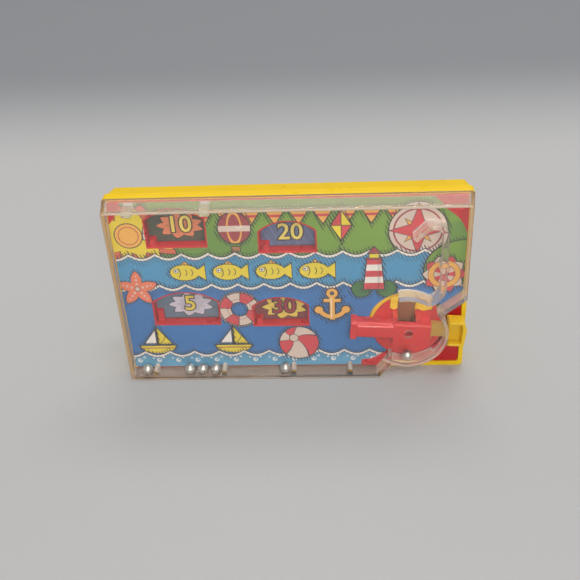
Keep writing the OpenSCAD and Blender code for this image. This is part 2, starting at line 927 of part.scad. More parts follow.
ball_r = ball_d / 2;
lane_ball_d = cover_wall + ball_r + run_gap;
lane_ball_z = floor_z + ball_r + run_gap;
chamber_ball_z = pivot_z - chamber_r + cover_wall + ball_r + run_gap;
// Balls in the pens, from the left edge, and the one under the cannon
ball_from_left = [7.2, 23, 27.8, 32.6, 58.3];
ball_places = concat([for (x = ball_from_left) [x - half_w, lane_ball_z]], [[px, chamber_ball_z]]);

module ball(i) {
    color([0.78, 0.78, 0.79])
        translate([ball_places[i][0], back(lane_ball_d), ball_places[i][1]]) sphere(ball_r);
}

rear_case();
inner_tray();
printed_card();
pocket_label(0);  // pocket_label_1
pocket_label(1);  // pocket_label_2
pocket_label(2);  // pocket_label_3
pocket_label(3);  // pocket_label_4
clear_cover();
gun_body();
gun_carrier();
carrier_washer();
carrier_screw();
firing_lever();
striker_pin();
lever_spring();
case_screws();
ball(0);  // ball_1
ball(1);  // ball_2
ball(2);  // ball_3
ball(3);  // ball_4
ball(4);  // ball_5
ball(5);  // ball_6
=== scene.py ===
import math
import bmesh
import bpy
from mathutils import Matrix, Vector


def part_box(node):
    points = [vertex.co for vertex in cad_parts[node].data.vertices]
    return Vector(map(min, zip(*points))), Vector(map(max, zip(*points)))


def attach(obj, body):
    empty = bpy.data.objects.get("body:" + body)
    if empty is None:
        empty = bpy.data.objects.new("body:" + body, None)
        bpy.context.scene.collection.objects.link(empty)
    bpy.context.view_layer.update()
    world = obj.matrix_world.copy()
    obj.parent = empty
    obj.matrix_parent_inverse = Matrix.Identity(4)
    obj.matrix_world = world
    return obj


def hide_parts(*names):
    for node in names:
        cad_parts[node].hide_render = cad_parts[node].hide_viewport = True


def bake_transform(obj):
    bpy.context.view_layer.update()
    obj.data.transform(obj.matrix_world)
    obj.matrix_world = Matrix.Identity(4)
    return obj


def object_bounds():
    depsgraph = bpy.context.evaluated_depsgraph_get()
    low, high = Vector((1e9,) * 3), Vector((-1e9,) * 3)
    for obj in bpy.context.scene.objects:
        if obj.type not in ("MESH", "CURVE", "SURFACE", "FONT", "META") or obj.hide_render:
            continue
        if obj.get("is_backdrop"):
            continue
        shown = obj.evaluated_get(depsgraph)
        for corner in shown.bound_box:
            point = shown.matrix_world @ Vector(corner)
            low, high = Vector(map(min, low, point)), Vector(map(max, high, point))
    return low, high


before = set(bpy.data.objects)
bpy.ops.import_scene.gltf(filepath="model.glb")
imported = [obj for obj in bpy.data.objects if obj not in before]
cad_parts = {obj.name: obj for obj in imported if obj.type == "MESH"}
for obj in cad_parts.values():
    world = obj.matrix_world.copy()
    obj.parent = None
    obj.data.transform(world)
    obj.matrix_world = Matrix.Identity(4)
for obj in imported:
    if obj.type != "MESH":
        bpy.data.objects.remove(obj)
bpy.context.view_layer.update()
print("frame loaded")

mm = 0.001
halfDepth = 9.45  # mm from the clear front to the middle plane
pivotX, pivotZ = 41.0, 19.3  # mm, the cannon's pivot
restTilt = 4  # degrees, muzzle up


def tone(r, g, b):
    # a colour as a screen shows it, 0 to 255, made linear
    def linear(c):
        c /= 255
        return c / 12.92 if c <= 0.04045 else ((c + 0.055) / 1.055) ** 2.4
    return (linear(r), linear(g), linear(b), 1)


def turned(degrees, axis):
    return Matrix.Rotation(math.radians(degrees), 4, axis)


# the cannon's own place: pivot at the clear front, barrel along x
cannonPlace = Matrix.Translation((pivotX * mm, -halfDepth * mm, pivotZ * mm)) @ turned(restTilt, "Y")


class Wire:
    # one socket of a material, so that shader sums are written as Python
    def __init__(self, finish, socket):
        self.finish, self.socket = finish, socket

    def sum(self, operation, first, second=None, third=None):
        values = {i: v for i, v in enumerate((first, second, third)) if v is not None}
        return self.finish.node("Math", {"operation": operation}, values)

    def __add__(self, other): return self.sum("ADD", self, other)
    def __radd__(self, other): return self.sum("ADD", other, self)
    def __sub__(self, other): return self.sum("SUBTRACT", self, other)
    def __rsub__(self, other): return self.sum("SUBTRACT", other, self)
    def __mul__(self, other): return self.sum("MULTIPLY", self, other)
    def __rmul__(self, other): return self.sum("MULTIPLY", other, self)
    def __abs__(self): return self.sum("ABSOLUTE", self)
    def __or__(self, other): return self.sum("MINIMUM", self, other)  # either shape
    def __and__(self, other): return self.sum("MAXIMUM", self, other)  # both shapes


class Finish:
    # a material, built node by node
    def __init__(self, name):
        self.material = bpy.data.materials.new(name)
        self.material.use_nodes = True
        self.material.node_tree.nodes.clear()

    def node(self, kind, settings, values, output=0):
        made = self.material.node_tree.nodes.new("ShaderNode" + kind)
        for name, value in settings.items():
            setattr(made, name, value)
        for name, value in values.items():
            if isinstance(value, Wire):
                self.material.node_tree.links.new(value.socket, made.inputs[name])
            else:
                made.inputs[name].default_value = value
        return Wire(self, made.outputs[output]) if made.outputs else None

    def coordinates(self, kind="Object"):
        return self.node("TexCoord", {}, {}, kind)

    def part(self, vector, axis):
        return self.node("SeparateXYZ", {}, {0: vector}, axis)

    def grid(self, scale=(1, 1, 1)):
        return self.node("Mapping", {}, {"Vector": self.coordinates(), "Scale": scale})

    def noise(self, size, detail=3, stretch=(1, 1, 1)):
        # size is the width of a patch, in mm
        values = {"Vector": self.grid(stretch), "Scale": 1 / (size * mm), "Detail": detail}
        return self.node("TexNoise", {}, values)

    def ramp(self, value, low, high, start=0.0, end=1.0):
        values = {"Value": value, "From Min": low, "From Max": high}
        values.update({"To Min": start, "To Max": end})
        return self.node("MapRange", {"clamp": True}, values)

    def step(self, value, place, blur, below=0.0, above=1.0):
        # one value below a place and another above it
        return self.ramp(value, place - blur, place + blur, below, above)

    def mix(self, share, first, second):
        return self.node("Mix", {"data_type": "RGBA"}, {0: share, 6: first, 7: second}, 2)

    def bump(self, height, strength, rise):
        # rise is the height of the relief, in mm
        values = {"Height": height, "Strength": strength, "Distance": rise * mm}
        return self.node("Bump", {}, values)

    def surface(self, values):
        return self.node("BsdfPrincipled", {}, values)

    def done(self, shader):
        self.node("OutputMaterial", {}, {"Surface": shader})
        return self.material


mouldedLook = {
    "mottle": 14.0,  # mm, patches of slightly different shade
    "mottleDepth": 0.12,  # share of the deeper shade
    "deeper": 0.82,  # the deeper shade, as a share of the colour
    "speck": 0.9,  # mm
    "specks": 0.12,  # share of the deeper shade in a speck
    "gloss": (0.75, 1.35),  # least and most roughness, as shares of the usual
    "glossPatch": 5,  # mm
    "orangePeel": 0.5,  # mm
    "peelRise": 0.004,  # mm
    "scratch": 0.35,  # mm
    "scratchRise": 0.006,  # mm
    "ior": 1.53,
}


def mouldedPlastic(name, colour, roughness, paintedShade=None):
    # opaque moulded plastic: faint mottle, fine scratches and a skin like orange peel, and where asked
    # a painted shade on one end
    look = mouldedLook
    f = Finish(name)
    patches = f.noise(look["mottle"], 4)
    deep = tuple(c * look["deeper"] for c in colour[:3]) + (1,)
    shade = f.mix(f.ramp(patches, 0.3, 0.7), f.mix(look["mottleDepth"], colour, deep), colour)
    specks = f.ramp(f.noise(look["speck"], 6), 0.66, 0.8)
    shade = f.mix(specks * look["specks"], shade, deep)
    if paintedShade:
        # painted shade: a darker end, left of the given place
        shadedEnd = f.step(f.part(f.coordinates(), "X") * 1000, paintedShade["x"], paintedShade["blur"], 1, 0)
        shade = f.mix(shadedEnd, shade, tone(*paintedShade["colour"]))
    scratches = f.ramp(f.noise(look["scratch"], 2, (0.05, 1, 1)), 0.62, 0.7)
    scratches = scratches + f.ramp(f.noise(look["scratch"], 2, (1, 1, 0.06)), 0.64, 0.72)
    peel = f.noise(look["orangePeel"], 2)
    smooth, dull = (roughness * share for share in look["gloss"])
    rough = f.ramp(f.noise(look["glossPatch"], 5), 0.3, 0.75, smooth, dull)
    relief = f.bump(peel * look["peelRise"] - scratches * look["scratchRise"], 1.0, 1.0)
    return f.done(f.surface({
        "Base Color": shade,
        "Roughness": rough + scratches * 0.08,
        "Normal": relief,
        "IOR": look["ior"],
    }))


clearLook = {
    "tint": (0.993, 0.987, 0.972, 1),
    "scuff": 0.25,  # mm
    "scuffRise": 0.0015,  # mm
    "shadow": (0.97, 0.97, 0.965, 1),
    "milk": 0.008,  # share of the light that is scattered back
    "frost": 0.3,  # share of a dull skin on the ribs, the round wall and the side walls
    "topFrost": 0.13,  # the same on the top wall
    "footFrost": 0.6,  # the same on the bottom wall, where the dull skin carries painted shade
    "postFrost": 0.5,  # the same on the low dividers
    "endFrost": 0.24,  # the same on the ends of the ribs, next to the card
    "rimHighlightFrost": 0.34,  # the same on the front edges of the four walls, a dull skin that also paints a highlight along them
    "topRim": 1.8,  # how much more of it there is along the top, a brighter painted highlight there
    "sides": 59.35, "rimFoot": 1.15, "rimTop": 69.85,  # mm, where those edges start
    "roundRim": {"r": 13.4, "half": 0.55, "from": (31, 8), "to": (53, 27)},  # mm, the round wall's front edge, with the same painted highlight
    "top": 68.5, "posts": 4.2, "foot": 1.3,  # mm, heights where one kind of skin ends
    "ends": -3.5, "face": -8.7,  # mm, the same from front to back
    "frostTint": (0.86, 0.70, 0.57, 1),
    # footShadeTint: painted shade and reflection, the dark brown of the bottom wall's dull skin
    "footShadeTint": (0.36, 0.24, 0.17, 1),
    "frostRoughness": 0.35,
    "smear": 11,  # mm
    "wave": 9,  # mm, slow waves in the moulded faces
    "waveRise": 0.01,  # mm
    "ior": 1.5,
}


def roundEdge(f, x, z, rim):
    # 1 on the round wall's front edge, which ends at a slanted line; there the pale dull skin paints a
    # highlight
    (startX, startZ), (endX, endZ) = rim["from"], rim["to"]
    spoke = f.node("CombineXYZ", {}, {0: x - pivotX, 1: z - pivotZ})
    reach = f.node("VectorMath", {"operation": "LENGTH"}, {0: spoke}, "Value")
    band = f.step(abs(reach - rim["r"]), rim["half"], 0.05, 1, 0)
    side = (x - startX) * (endZ - startZ) - (z - startZ) * (endX - startX)
    return band * f.ramp(side, 0, 10)


def clearPlastic(name):
    # clear styrene: it bends light, and lets the lamps through to what is behind it
    look = clearLook
    f = Finish(name)
    scuffs = f.ramp(f.noise(look["scuff"], 2, (0.04, 1, 1)), 0.62, 0.7)
    scuffs = scuffs + f.ramp(f.noise(look["scuff"], 2, (1, 1, 0.05)), 0.64, 0.72)
    waves = f.noise(look["wave"], 2)
    relief = f.bump(waves * look["waveRise"] - scuffs * look["scuffRise"], 1.0, 1.0)
    smears = f.ramp(f.noise(look["smear"], 4), 0.45, 0.75)
    body = f.surface({
        "Base Color": look["tint"],
        "Roughness": 0.015 + smears * 0.03 + scuffs * 0.05,
        "IOR": look["ior"],
        "Transmission Weight": 1.0 - look["milk"],
        "Normal": relief,
    })
    facing = abs(f.part(f.coordinates("Normal"), "Y"))
    front = f.ramp(facing, 0.8, 0.95)
    x, y, z = (f.part(f.coordinates(), axis) * 1000 for axis in "XYZ")
    # the dull skin: dark brown on the bottom wall as painted shade and reflection, tan elsewhere and
    # on faces that look to the front
    dull = f.surface({
        "Base Color": f.mix(f.step(z, look["foot"], 0.1) & front, look["footShadeTint"], look["frostTint"]),
        "Roughness": look["frostRoughness"],
        "Normal": relief,
    })
    frost = f.step(z, look["top"], 0.2, look["frost"], look["topFrost"])
    frost = frost + f.step(z, look["posts"], 0.2, look["postFrost"] - look["frost"], 0)
    frost = frost - f.step(z, look["foot"], 0.1, look["postFrost"] - look["footFrost"], 0)
    walls = f.ramp(facing, 0.5, 0.9, 1, 0) * frost
    walls = walls + front * f.step(y, look["ends"], 0.1, 0, look["endFrost"])
    # a pale dull band along the front edges of the walls and the round wall: painted highlight
    edge = f.step(abs(x), look["sides"], 0.05) & f.step(z, look["rimTop"], 0.05, 0, look["topRim"])
    edge = edge & f.step(z, look["rimFoot"], 0.05, 1, 0) & roundEdge(f, x, z, look["roundRim"])
    walls = walls + front * edge * f.step(y, look["face"], 0.1, look["rimHighlightFrost"], 0)
    skin = f.node("MixShader", {}, {0: walls, 1: body, 2: dull})
    through = f.node("BsdfTransparent", {}, {"Color": look["shadow"]})
    lamps = f.node("LightPath", {}, {}, "Is Shadow Ray")
    return f.done(f.node("MixShader", {}, {0: lamps, 1: skin, 2: through}))


steelLook = {
    "spot": 1.3,  # mm, dull spots
    "spotShade": 0.7,  # their colour, as a share of the metal's
    "markRise": 0.004,  # mm
}


def steel(name, colour, roughness, grain, grainSize):
    # metal with fine grinding marks and dull spots
    f = Finish(name)
    marks = f.noise(grainSize, 4, grain)
    dull = f.ramp(f.noise(steelLook["spot"], 4), 0.5, 0.75)
    dark = tuple(c * steelLook["spotShade"] for c in colour[:3]) + (1,)
    return f.done(f.surface({
        "Base Color": f.mix(dull * 0.5, colour, dark),
        "Metallic": 1.0,
        "Roughness": roughness + marks * 0.12 + dull * 0.1,
        "Normal": f.bump(marks, 0.6, steelLook["markRise"]),
    }))


pen = {
    "ink": (42, 32, 38),
    "slant": (0.85, 0.4),  # strokes for each mm along x and z
    "half": 0.19,  # half a stroke's width, as a share of the space from one to the next
    "fringe": 1.45,  # mm, how far the strokes reach round a shape
    "fringeInk": 0.9,
    "line": 0.4,  # mm
}


class Picture:
    # a printed picture: flat inks laid over each other by the distance to each shape, in mm
    def __init__(self, name, ground):
        self.f = Finish(name)
        self.x = self.f.part(self.f.coordinates(), "X") * 1000
        self.z = self.f.part(self.f.coordinates(), "Z") * 1000
        self.colour = ground
        self.black = tone(*pen["ink"])
        slant = self.x * pen["slant"][0] + self.z * pen["slant"][1]
        self.strokes = self.inside(abs(slant.sum("WRAP", slant, 0.5, -0.5)) - pen["half"], 0.08)

    def at(self, x, z, every=None):
        # distances from a point; with every, the point repeats along x
        u = self.x - x
        if every:
            u = u.sum("WRAP", u, every / 2, -every / 2)
        return u, self.z - z

    def far(self, u, v):
        both = self.f.node("CombineXYZ", {}, {0: u, 1: v})
        return self.f.node("VectorMath", {"operation": "LENGTH"}, {0: both}, "Value")

    def disc(self, u, v, r):
        return self.far(u, v) - r

    def block(self, u, v, wide, high):
        return (abs(u) - wide / 2) & (abs(v) - high / 2)

    def point(self, u, v, wide, high):
        # a flag that hangs with its point down
        slope = 1 / math.hypot(wide / 2, high)
        return ((abs(u) * high - v * (wide / 2) - wide * high / 2) * slope) & v

    def angle(self, u, v):
        return u.sum("ARCTAN2", v, u)

    def inside(self, distance, soft=0.09):
        values = {0: distance, 1: -1 / soft, 2: 0.5}
        return self.f.node("Math", {"operation": "MULTIPLY_ADD", "use_clamp": True}, values)

    def lay(self, distance, ink, within=None, strength=1.0):
        mask = self.inside(distance) * strength if strength < 1 else self.inside(distance)
        if within is not None:
            mask = mask * within
        self.colour = self.f.mix(mask, self.colour, tone(*ink))

    def stroke(self, mask, strength):
        self.colour = self.f.mix(mask * self.strokes * strength, self.colour, self.black)

    def draw(self, distance, ink, line=pen["line"], hatch=True, within=None):
        # a shape with an inked edge and a fringe of short pen strokes
        if hatch:
            fringe = self.inside(distance - pen["fringe"], 0.4)
            self.stroke(fringe * within if within is not None else fringe, pen["fringeInk"])
        edge = self.inside(distance - line)
        edge = edge * within if within is not None else edge
        self.colour = self.f.mix(edge, self.colour, self.black)
        self.lay(distance, ink, within)

    def finished(self, roughness=0.42):
        f = self.f
        grain = f.noise(0.35, 3)
        shade = f.mix(f.ramp(grain, 0.4, 0.8, 0, 0.1), self.colour, tone(225, 222, 214))
        return f.done(f.surface({
            "Base Color": shade,
            "Roughness": f.ramp(grain, 0.3, 0.8, roughness - 0.06, roughness + 0.1),
            "Normal": f.bump(grain, 0.5, 0.01),
        }))


inks = {
    "grass": (110, 146, 42),
    "bush": (62, 112, 56),
    "sky": (62, 138, 178),
    "sea": (40, 106, 166),
    "shallow": (86, 152, 186),
    "foam": (228, 220, 210),
    "yellow": (222, 196, 36),
    "gold": (226, 164, 70),
    "red": (202, 58, 66),
    "brick": (150, 52, 58),
    "cream": (207, 185, 169),
    "brown": (170, 112, 62),
    "dark": (44, 34, 42),
}

cardArt = {
    "waves": ((51.3, "sky"), (38.7, "sea"), (9.2, "shallow")),  # mm, each row's height and water
    "wave": 9.2,  # mm, from crest to crest
    "waveHeight": 1.9,
    "waveLine": 0.9,
}


def cardPrint():
    art = cardArt
    p = Picture("printedCard", tone(*inks["grass"]))
    # darker hills behind, then each row of pointed waves over what stands in the water behind it
    for x, squash in ((-30, 0.55), (58, 0.8)):
        u, v = p.at(x, 38)
        p.lay(p.disc(u * squash, v, 23.5), inks["bush"], strength=0.35)
    pennants(p)
    sun(p, -52.0, 58.6)
    balloon(p, -17.8, 60.8)
    kite(p, 18.0, 61.0)
    compass(p, 43.5, 58.6, 9.6)
    crest = abs(p.x.sum("SINE", p.x * (math.pi / art["wave"]))) * art["waveHeight"]
    for (height, water), row in zip(art["waves"], (fish, boats, bubbles)):
        under = p.z + crest - height
        p.stroke(p.inside(under - 1.7, 0.6) * p.inside(0.2 - under, 0.4), pen["fringeInk"])
        p.lay(under - 0.4, inks["dark"])
        p.lay(under, inks["foam"])
        p.lay(under + art["waveLine"], inks["dark"])
        p.lay(under + art["waveLine"] + 0.25, inks[water])
        p.stroke(p.inside(under + 0.4, 0.3) * p.inside(-3.2 - under, 1.2), 0.5)
        row(p)
        if row is fish:
            # the shore behind the guide rib
            u, v = p.at(60.5, 43)
            p.draw(p.disc(u * 0.8, v, 11.5), inks["grass"])
    lighthouse(p, 29.0, 35.4)
    parasol(p, 53.0, 41.0, 7.4)
    lifeRing(p, -18.6, 27.6, 7.2)
    anchor(p, 14.4, 28.0)
    starfish(p, -54.0, 37.0, 7.4)
    beachBall(p, 2.0, 12.4, 7.0)
    return p.finished()


def pennants(p):
    u, v = p.at(-4, 66.6, 8.0)
    along = p.inside(abs(p.x + 4) - 48, 0.1)
    flag = p.point(u, v, 5.6, 4.6)
    p.draw(flag, inks["gold"], within=along)
    p.lay(flag & (abs(v + 1.5) - 0.5), inks["red"], along)


def sun(p, x, z):
    u, v = p.at(x, z)
    wide = u * 0.6
    turn = p.angle(wide, v)
    rays = turn.sum("PINGPONG", turn * (15 / math.pi), 1.0)
    shift = turn.sum("PINGPONG", turn * (15 / math.pi) + 0.5, 1.0)
    reach = p.far(wide, v)
    p.draw(reach - shift * 2.6 - 8.4, (208, 92, 60))
    p.draw(reach - rays * 2.6 - 6.7, inks["yellow"], 0.3, False)
    p.draw(p.disc(u + 2.0, v, 4.6), inks["gold"], 0.36, False)
    p.lay(abs(p.disc(u + 2.0, v, 3.4)) - 0.2, (190, 96, 52))
    cloud = p.disc(u - 6.2, v - 1.8, 2.9) | p.disc(u - 10.0, v - 1.2, 2.3)
    p.draw(cloud | p.block(u - 7.8, v + 0.4, 9.4, 2.2), inks["foam"], 0.36, False)


def lighthouse(p, x, z):
    u, v = p.at(x, z)
    p.draw(p.disc(abs(u) - 4.4, v, 3.2), inks["bush"])
    tower = (abs(u) + v * 0.1 - 3.5) & (abs(v - 6.2) - 6.2)
    p.draw(tower, inks["foam"])
    p.lay(tower & (0 - v.sum("WRAP", v, 2.5, -2.5)), inks["red"])
    p.lay(tower & (abs(u - 1.7) - 0.5), inks["dark"], strength=0.25)
    p.draw(p.block(u, v - 13.4, 3.2, 2.2), inks["yellow"], 0.3, False)
    p.draw(p.block(u, v - 12.3, 5.4, 0.5), inks["brick"], 0.2, False)
    p.draw((14.5 - v) & (abs(u) * 0.78 + v * 0.63 - 10.77), inks["brick"], 0.3, False)


def balloon(p, x, z):
    u, v = p.at(x, z)
    ropes = (abs(abs(u) - v * 0.75 - 6.75) - 0.16) & (abs(v + 6.5) - 1.2)
    p.lay(ropes, inks["dark"])
    bag = p.disc(u, v * 0.92, 5.4)
    p.draw(bag, inks["brick"])
    p.lay(bag & (abs(p.disc(u * 2.3, v * 0.92, 5.4)) - 0.6), inks["gold"])
    p.lay(bag & (abs(v + 0.2) - 1.1), inks["cream"])
    p.lay(abs(p.disc(u - 1.4, v - 1.6, 1.6)) - 0.12 & (0.6 - u) & (v - 0.9), inks["foam"])
    p.draw(p.block(u, v + 8.2, 2.6, 1.8), inks["brown"], 0.3, False)


def kite(p, x, z):
    u, v = p.at(x, z)
    p.lay((abs(u + v.sum("SINE", v * 1.3) * 0.8) - 0.18) & (abs(v + 8) - 3.4), inks["dark"])
    shape = abs(u) * 0.86 + abs(v) * 0.52 - 2.9
    p.draw(shape, inks["yellow"])
    p.lay(shape & (u * v.sum("SIGN", v)), inks["red"])
    p.lay(shape & ((abs(u) | abs(v)) - 0.14), inks["dark"])


def boats(p):
    row = p.inside(abs(p.x + 36) - 28, 0.1)
    u, v = p.at(-22, 10.4, 28)
    p.lay(p.block(u, v - 5.4, 0.5, 9.4), inks["dark"], row)
    sail = (2.2 - v) & (u * 0.832 + v * 0.555 - 5.6)
    p.draw((0.5 - u) & sail, inks["yellow"], within=row)
    p.draw((u + 0.5) & (2.5 - v) & (v * 0.587 - u * 0.809 - 5.2), inks["foam"], within=row)
    p.lay(abs(p.disc(u + 3.2, v - 7.6, 6.6)) - 0.14 & (0.6 - u) & sail, inks["dark"], row)
    hull = p.disc(u, (v - 1.3) * 1.9, 6.4)
    p.draw(hull & (v - 1.3), inks["yellow"], within=row)
    p.lay(hull & (abs(v - 0.3) - 0.28), inks["brown"], row)


def fish(p):
    row = p.inside(abs(p.x + 14) - 30, 0.1)
    u, v = p.at(-6.5, 43.4, 15)
    body = p.disc(u, v * 1.6, 5.0)
    p.draw((abs(u - 0.4) * 0.8 + v - 4.5) & (2.4 - v), inks["gold"], 0.3, False, row)
    p.draw(body | (abs(v) - (u - 3.2) * 0.75) & (u - 7.2), inks["yellow"], within=row)
    for ahead in (0.0, 2.0):
        scale = abs(p.disc(u + 1.0 - ahead, v, 1.8)) - 0.14
        p.lay(scale & body & (ahead + 0.2 - u), inks["dark"], row)
    p.lay(abs(p.disc(u + 4.4, v, 2.9)) - 0.16 & body & (0 - u - 2.2), inks["dark"], row)
    p.draw(p.disc(u + 3.0, v - 0.8, 0.75), inks["foam"], 0.22, False, row)
    p.lay(p.disc(u + 3.1, v - 0.8, 0.36), inks["dark"], row)


def bubbles(p):
    for x, z, r in ((0, 5.0, 0.95), (1.8, 6.4, 0.5), (-2.0, 6.0, 0.4)):
        u, v = p.at(x, z, 7.2)
        p.lay(p.disc(u, v, r), inks["foam"], strength=0.85)
        p.lay(p.disc(u - 0.25 * r, v - 0.25 * r, r * 0.45), inks["shallow"])


def compass(p, x, z, r):
    u, v = p.at(x, z)
    reach = p.far(u, v)
    p.draw(reach - r, inks["cream"])
    p.lay(abs(reach - r * 0.84) - 0.3, inks["brick"])
    for a, b, long, ink in (((u + v) * 0.707, (u - v) * 0.707, 0.62, "gold"), (u, v, 0.98, "red")):
        # a star of four points
        star = (abs(a) & abs(b)) * 0.3 + (abs(a) | abs(b)) * 0.95 - r * long * 0.3
        p.draw(star, inks[ink], 0.2, False)
    p.draw(reach - r * 0.1, inks["cream"], 0.2, False)


def lifeRing(p, x, z, r):
    u, v = p.at(x, z)
    reach, turn = p.far(u, v), p.angle(u, v)
    p.draw(abs(reach - r) - 0.3, inks["cream"], 0.25, False)
    ring = abs(reach - r * 0.7) - r * 0.26
    p.draw(ring, inks["cream"])
    quarter = abs(turn.sum("WRAP", turn + 0.5, math.pi / 4, -math.pi / 4)) - 0.4
    p.lay(ring & quarter * 8, inks["red"])
    p.lay(ring & abs(quarter * 8) - 0.22, inks["dark"])
    p.lay(abs(reach - r * 0.6) - 0.16 & ring, inks["brick"], strength=0.6)


def parasol(p, x, z, r):
    u, v = p.at(x, z)
    reach, turn = p.far(u, v), p.angle(u, v)
    flute = abs(turn.sum("WRAP", turn, math.pi / 10, -math.pi / 10)) * 5.0
    canopy = reach + flute * 0.9 - r
    p.draw(canopy, inks["cream"])
    gore = turn.sum("WRAP", turn, math.pi / 5, -math.pi / 5)
    p.lay(canopy & abs(gore) * reach - 0.32 * reach, inks["red"])
    p.draw(abs(reach - r * 0.62) - 0.9 & canopy, inks["gold"], 0.2, False)
    p.draw(reach - r * 0.16, inks["red"], 0.3, False)


def anchor(p, x, z):
    u, v = p.at(x, z)
    u, v = u * 0.86, v * 0.86
    eye = abs(p.disc(u, v - 5.0, 1.2)) - 0.5
    arms = (abs(p.disc(u, v - 0.6, 4.2)) - 0.7) & (v + 1.2)
    flukes = p.disc(abs(u) - 4.1, v + 1.0, 1.25)
    shape = eye | p.block(u, v + 0.3, 1.5, 8.8) | p.block(u, v - 2.4, 5.2, 1.2) | arms | flukes
    p.draw(shape, inks["gold"])
    p.lay(p.block(u + 0.3, v + 0.3, 0.3, 7.4), inks["foam"], strength=0.8)


def starfish(p, x, z, r):
    u, v = p.at(x, z)
    reach, turn = p.far(u, v), p.angle(u, v)
    limb = abs(turn.sum("WRAP", turn - 0.3, math.pi / 5, -math.pi / 5))
    p.draw(reach + limb * r * 0.95 - r, (222, 112, 76))
    for share, size in ((0.28, 0.45), (0.5, 0.4), (0.7, 0.3)):
        p.lay(p.disc(limb * reach, reach - r * share, size), inks["cream"])
    p.draw(reach - 0.8, inks["cream"], 0.2, False)


def beachBall(p, x, z, r):
    u, v = p.at(x, z)
    reach, turn = p.far(u + 1.8, v - 2.2), p.angle(u + 1.8, v - 2.2)
    ball = p.disc(u, v, r)
    p.draw(ball, inks["cream"])
    panel = turn + reach * 0.05
    for start in (0, 2 * math.pi / 3, 4 * math.pi / 3):
        gore = abs(panel.sum("WRAP", panel - start, math.pi, -math.pi)) - math.pi / 6
        p.lay(ball & gore * 5, inks["red"])
        p.lay(ball & abs(gore * 5) - 0.16, inks["dark"])
    p.draw(reach - 1.5, inks["cream"], 0.25, False)


pocketArt = [
    {"node": "pocket_label_1", "score": "10",
     "ground": (66, 74, 54), "burst": (214, 124, 78), "ink": (232, 208, 96)},
    {"node": "pocket_label_2", "score": "20",
     "ground": (84, 98, 132), "burst": None, "ink": (226, 206, 104)},
    {"node": "pocket_label_3", "score": "5",
     "ground": (92, 112, 128), "burst": (198, 190, 200), "ink": (224, 200, 72)},
    {"node": "pocket_label_4", "score": "30",
     "ground": (120, 48, 50), "burst": (222, 194, 74), "ink": (150, 52, 58)},
]


def pocketPrint(number, art):
    low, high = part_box(art["node"])
    middleX, middleZ = (low.x + high.x) / 2 / mm, (low.z + high.z) / 2 / mm
    p = Picture("pocketPrint%d" % number, tone(*art["ground"]))
    u, v = p.at(middleX + 1.2, middleZ - 0.4)
    squash = u * 0.62
    turn, reach = p.angle(squash, v), p.far(squash, v)
    rays = turn.sum("PINGPONG", turn * (9 / math.pi), 1.0)
    if art["burst"]:
        p.draw(reach - rays * 1.5 - 3.6, art["burst"], 0.3, False)
        p.lay(reach - rays * 1.1 - 2.3, [c * 0.86 for c in art["burst"]], strength=0.6)
    else:
        p.lay(abs(u.sum("WRAP", u + v * 0.5, 1.5, -1.5)) - 0.35, (104, 118, 150), strength=0.7)
    u, v = p.at(middleX, low.z / mm + 0.4)
    p.lay(v, (62, 50, 56), strength=0.8)
    return p.finished(0.5)


def link(made):
    bpy.context.scene.collection.objects.link(made)


def outward(bm):
    bmesh.ops.remove_doubles(bm, verts=bm.verts, dist=2e-6)
    bmesh.ops.recalc_face_normals(bm, faces=bm.faces)


def pieceFrom(bm, name, material, body, slot, *nodes, smoothTo=35):
    # a piece of the game from a finished bmesh
    mesh = bpy.data.meshes.new(name)
    for face in bm.faces:
        face.smooth = True
    bm.to_mesh(mesh)
    bm.free()
    mesh.set_sharp_from_angle(angle=math.radians(smoothTo))
    mesh.materials.append(material)
    piece = bpy.data.objects.new(name, mesh)
    link(piece)
    if body:
        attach(piece, body)
    if nodes:
        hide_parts(*nodes)
    return piece


easedEdges = {
    "sharpFrom": 30,  # degrees between two faces
    "width": 0.12,  # mm
    "steps": 2,
    "longFrom": 6.0,  # mm, edges this long are rounded more inside the limits below
    "longSteps": 4,
}
longEdges = {
    "gun_body": {"round": 0.45, "x": (20, 36.5)},  # mm, the barrel
}


def ease(bm, edges, width, steps):
    bmesh.ops.bevel(bm, geom=edges, offset=width * mm, offset_type="OFFSET", affect="EDGES",
                    segments=steps, profile=0.5, material=-1, clamp_overlap=False)


def eased(node, name, material, body, slot):
    # the solid of the frame with its moulded edges eased
    bm = bmesh.new()
    bm.from_mesh(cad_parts[node].data)
    bmesh.ops.remove_doubles(bm, verts=bm.verts, dist=2e-6)
    bmesh.ops.dissolve_limit(bm, angle_limit=math.radians(1), verts=bm.verts, edges=bm.edges)
    least = math.radians(easedEdges["sharpFrom"])
    if node in longEdges:
        left, right = longEdges[node]["x"]
        edges = [e for e in bm.edges if e.is_convex and e.calc_face_angle(0) > least
                 and abs(e.verts[0].co.x - e.verts[1].co.x) > easedEdges["longFrom"] * mm
                 and all(left * mm < v.co.x < right * mm for v in e.verts)]
        ease(bm, edges, longEdges[node]["round"], easedEdges["longSteps"])
        bmesh.ops.dissolve_degenerate(bm, dist=2e-6, edges=bm.edges)
    edges = [e for e in bm.edges if e.is_manifold and e.calc_face_angle() > least]
    ease(bm, edges, easedEdges["width"], easedEdges["steps"])
    low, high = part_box(node)
    for v in bm.verts:
        # no corner stands out past the solid
        v.co = [min(max(c, a), b) for c, a, b in zip(v.co, low, high)]
    piece = pieceFrom(bm, name, material, body, slot, node)
    piece.modifiers.new("normals", "WEIGHTED_NORMAL").keep_sharp = True
    return piece


shadePlate = {
    "x": (-4.1, 1.9), "z": (-1.9, 9.8),  # mm from the pivot
    "depth": (7.95, 8.25),  # mm from the clear front
    "edge": 0.1,  # mm
}


